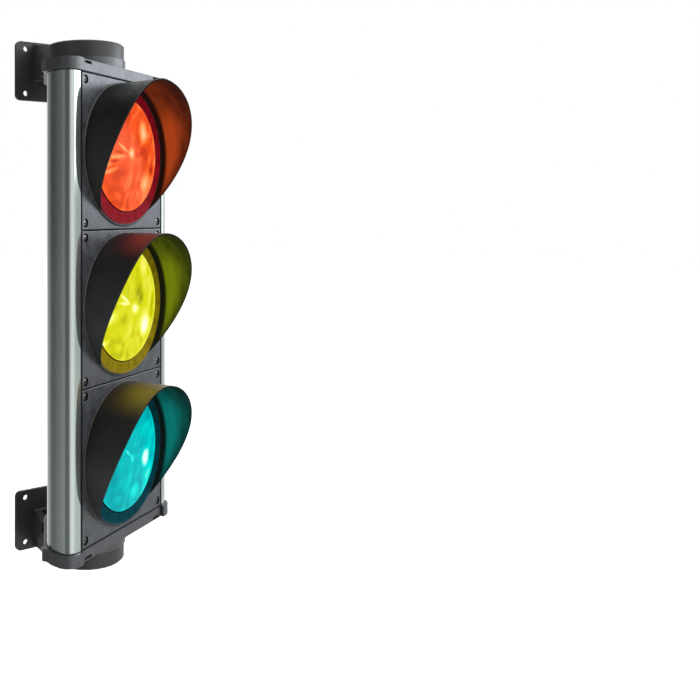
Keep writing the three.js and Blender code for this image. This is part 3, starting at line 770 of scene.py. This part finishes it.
def round_panel_front(mesh):
    """Rounds the plate's front edges, its outline more than its openings."""
    front = [e for e in mesh.edges if e.calc_face_angle() > math.radians(60)
             and all(v.co.y < 0.1 * MM for v in e.verts)]
    outline = [e for e in front
               if max(abs(c) for v in e.verts for c in v.co.xz) > PANEL_HALF - 2 * MM]
    openings = [e for e in front if e not in set(outline)]
    for edges, width in ((outline, 0.8 * MM), (openings, 0.25 * MM)):
        edges = [e for e in edges if e.is_valid]
        bmesh.ops.bevel(mesh, geom=edges, offset=width, offset_type="OFFSET", affect="EDGES",
                        segments=3, profile=0.5, clamp_overlap=True, material=-1)


def paint_shade_in_panel_recesses(mesh):
    """Gives the seams between panels and the walls of the screw pockets the second finish, black painted
    as shade.
    """
    for face in mesh.faces:
        spots = [vert.co for vert in face.verts]
        at_side = all(abs(spot.x) > PANEL_HALF - 0.85 * MM for spot in spots)
        at_end = all(abs(spot.z) > PANEL_HALF - 0.32 * MM for spot in spots)
        centre = face.calc_center_median()
        in_pocket = face.normal.y > -0.5 and any(
            math.hypot(centre.x - x, centre.z - z) < POCKET_R + 0.2 * MM for x, z in SCREW_SPOTS)
        if at_side or at_end or in_pocket:
            face.material_index = 1


def make_panel(colour):
    """A front panel: its plate, the screws' seats, a rib behind it and the collar of its lens, with
    painted shade on its seams, pockets and seats.
    """
    mesh = panel_plate()
    round_panel_front(mesh)
    paint_shade_in_panel_recesses(mesh)
    shank_hole, seat_out = 1.9 * MM, POCKET_R + 0.3 * MM
    for x, z in SCREW_SPOTS:
        seat = from_profile([(shank_hole, 1.95 * MM), (seat_out, 1.95 * MM),
                             (seat_out, 12.2 * MM), (shank_hole, 12.2 * MM)], 24)
        # the seats behind the plate are painted shade black
        add_part(mesh, seat, 1, Matrix.Translation((x, 0, z)))
    rib_in, rib_out = 71.8 * MM, 73.4 * MM
    rib = [(rib_in, 2 * MM), (rib_out, 2 * MM), (rib_out, 10.5 * MM), (rib_in, 10.5 * MM)]
    add_part(mesh, from_profile(rib, 144), 0)
    rounding = 0.3 * MM
    collar = [(COLLAR_IN, COLLAR_FRONT + rounding), (COLLAR_IN + rounding, COLLAR_FRONT),
              (COLLAR_OUT - rounding, COLLAR_FRONT), (COLLAR_OUT, COLLAR_FRONT + rounding),
              (COLLAR_OUT, 2.4 * MM), (COLLAR_IN, 2.4 * MM)]
    add_part(mesh, from_profile(collar, 144), 2)
    place_piece("panel_moulding_" + colour, mesh, [PANEL_GREY, SHADE_BLACK, lamp_collar(colour)],
                HEAD, "front_panel_" + colour, lamp_place(colour), 40)


def paint_lip_seam_shade(mesh):
    """Parts off the strip along each front lip of the profile and gives it the black rubber finish,
    painted shade for the seam beside the panel.
    """
    across = (HEAD_PLACE.to_3x3() @ Vector((1, 0, 0))).normalized()
    for side in (-1, 1):
        bmesh.ops.bisect_plane(mesh, geom=[*mesh.verts, *mesh.edges, *mesh.faces], dist=1e-7,
                               plane_co=HEAD_PLACE @ Vector((side * SEAM_SHADE_END, 0, 0)),
                               plane_no=across)
    to_head = HEAD_PLACE.inverted()
    for face in mesh.faces:
        spots = [to_head @ vert.co for vert in face.verts]
        if all(abs(spot.x) < SEAM_SHADE_END + 0.02 * MM and spot.y < -FACE_DEPTH + 1.5 * MM
               for spot in spots):
            face.material_index = 1


def make_object():
    for end in ("top", "bottom"):
        softened_copy(end + "_wall_bracket", end + "_bracket_moulding", BRACKET_BLACK, FIXED,
                      0.7 * MM)
        softened_copy(end + "_end_cap", end + "_cap_moulding", CAP_BLACK, HEAD, 0.6 * MM)
        give([end + "_friction_washer", end + "_cap_gasket"], RUBBER)
    # the profile's lip strips are painted black as shade in the seams beside the panels
    softened_copy("housing_extrusion", "housing_profile", ALUMINIUM, HEAD,
                  0.3 * MM, paint_lip_seam_shade)
    for name in ("top_swivel_bolt", "top_swivel_nut", "bottom_hollow_stud", "bottom_stud_nut"):
        softened_copy(name, name + "_finished", STEEL, FIXED, 0.3 * MM)
    softened_copy("cable_grommet", "cable_grommet_moulding", RUBBER, FIXED, 0.4 * MM)
    give(["terminal_block"], IVORY)
    for colour in COLOURS:
        make_panel(colour)
        make_hood(colour)
        make_lens(colour)
        make_panel_screws(colour)
        give(["lens_seal_" + colour], RUBBER)
        give(["reflector_" + colour], REFLECTOR)
        give(["led_lamp_" + colour], LAMP_WHITE)
        give(["lamp_holder_" + colour], IVORY)
        give(["lamp_lead_" + colour], LEAD[colour])
    make_cap_screws()


# ------------------------------------------------------------------ studio
FLOOR_Z = -0.45
WALLS_MEET = (-0.34, 0.02)  # heights of a ray between which the low walls turn into the high ones
COOL, NEARLY_WHITE = (0.91, 0.97, 1.08), (0.95, 0.98, 1.04)


def make_floor():
    """A wide sheet of pale paper that fades into the white round it."""
    mesh = bmesh.new()
    bmesh.ops.create_grid(mesh, x_segments=4, y_segments=4, size=12)
    bmesh.ops.translate(mesh, vec=(0, 0, FLOOR_Z), verts=mesh.verts)
    data = bpy.data.meshes.new("studio_floor")
    mesh.to_mesh(data)
    mesh.free()
    material = new_material("studio_paper", Roughness=0.9, Emission_Strength=1.0)
    where = coordinates(material)
    length = add_node(material, "VectorMath", operation="LENGTH")
    link(material, where, length.inputs[0])
    glow = spread(material, length.outputs["Value"], 0.5, 1.6, 0.25, 0.9)
    link(material, ramp(material, glow, [(0.0, 0.0), (1.0, 1.0)]),
         shader_input(material, "Emission Color"))
    seen = add_node(material, "LightPath")
    link(material, seen.outputs["Is Camera Ray"], shader_input(material, "Emission Strength"))
    shader_input(material, "Base Color").default_value = (0.85, 0.85, 0.85, 1)
    data.materials.append(material)
    floor = bpy.data.objects.new("studio_floor", data)
    floor.visible_glossy = False  # so that the studio's upright bands run the whole height
    scene.collection.objects.link(floor)


# How bright the studio's walls stand round the object, low down and high up, by compass angle
# from +X in degrees.
STUDIO_WALLS = (
    (-180, 0.26, 0.15), (-166, 0.26, 0.16), (-154, 0.17, 0.09), (-143, 0.08, 0.04),
    (-118, 0.09, 0.05), (-108, 0.32, 0.18), (-98, 0.78, 0.62), (-80, 0.93, 0.88),
    (-62, 0.88, 0.80), (-48, 0.62, 0.50), (-20, 0.60, 0.34), (-6, 0.58, 0.32), (18, 0.68, 0.66),
    (40, 0.95, 0.90), (75, 0.88, 0.70), (98, 0.86, 0.46), (114, 0.39, 0.21), (124, 0.14, 0.04),
    (134, 0.115, 0.035), (148, 0.18, 0.075), (162, 0.23, 0.11), (172, 0.26, 0.15))


def make_world():
    """White air to look at, and upright bright and dark walls for the gloss to mirror."""
    world = bpy.data.worlds.new("studio_air")
    world.use_nodes = True
    scene.world = world
    nodes, links = world.node_tree.nodes, world.node_tree.links
    way = nodes.new("ShaderNodeTexCoord")
    turn = nodes.new("ShaderNodeTexGradient")
    turn.gradient_type = "RADIAL"
    links.new(way.outputs["Generated"], turn.inputs["Vector"])

    def walls(column):
        node = nodes.new("ShaderNodeValToRGB")
        elements = node.color_ramp.elements
        while len(elements) < len(STUDIO_WALLS):
            elements.new(0.5)
        for element, row in zip(elements, STUDIO_WALLS):
            level = row[column]
            element.position = row[0] / 360 + 0.5
            element.color = (0.97 * level, level, 0.99 * level, 1)
        links.new(turn.outputs["Fac"], node.inputs["Fac"])
        return node.outputs["Color"]

    parts = nodes.new("ShaderNodeSeparateXYZ")
    links.new(way.outputs["Generated"], parts.inputs["Vector"])
    rise = nodes.new("ShaderNodeMapRange")
    rise.inputs["From Min"].default_value, rise.inputs["From Max"].default_value = WALLS_MEET
    links.new(parts.outputs["Z"], rise.inputs["Value"])
    both = nodes.new("ShaderNodeMixRGB")
    links.new(rise.outputs["Result"], both.inputs["Fac"])
    links.new(walls(1), both.inputs["Color1"])
    links.new(walls(2), both.inputs["Color2"])
    lit = nodes["Background"]
    links.new(both.outputs["Color"], lit.inputs["Color"])
    lit.inputs["Strength"].default_value = 1.0
    seen = nodes.new("ShaderNodeBackground")
    seen.inputs["Color"].default_value = (1, 1, 1, 1)
    seen.inputs["Strength"].default_value = 1.0
    path = nodes.new("ShaderNodeLightPath")
    mix = nodes.new("ShaderNodeMixShader")
    links.new(path.outputs["Is Camera Ray"], mix.inputs["Fac"])
    links.new(lit.outputs["Background"], mix.inputs[1])
    links.new(seen.outputs["Background"], mix.inputs[2])
    links.new(mix.outputs["Shader"], nodes["World Output"].inputs["Surface"])


def area_light(name, location, target, size, power, mirrored=False, tint=(1, 1, 1)):
    data = bpy.data.lights.new(name, "AREA")
    data.shape = "RECTANGLE"
    data.size, data.size_y = size
    data.energy = power
    data.color = tint
    light = bpy.data.objects.new(name, data)
    light.location = location
    light.rotation_euler = (Vector(target) - Vector(location)).to_track_quat("-Z", "Y").to_euler()
    light.visible_camera = False
    light.visible_glossy = mirrored
    scene.collection.objects.link(light)


def make_lights():
    middle = tuple(SWIVEL)
    upper = (0, -0.086, 0.35)
    area_light("right_softbox", (2.36, -0.5, 0.99), upper, (1.6, 1.06), 17, True, COOL)
    area_light("corner_softbox", (1.78, -1.69, 0.99), upper, (1.5, 1.06), 10, True, NEARLY_WHITE)
    area_light("low_softbox", (2.41, -0.25, 0.216), middle, (0.68, 0.445), 1.0, True, COOL)
    area_light("left_softbox", (-2.3, -0.9, 1.0), middle, (1.2, 1.2), 16)
    area_light("front_softbox", (0.5, -2.6, 1.5), middle, (1.4, 1.4), 34)
    area_light("top_softbox", (0.2, -0.4, 2.3), middle, (1.5, 1.5), 26)


make_object()
make_floor()
make_world()
make_lights()
scene.view_settings.view_transform = "Standard"
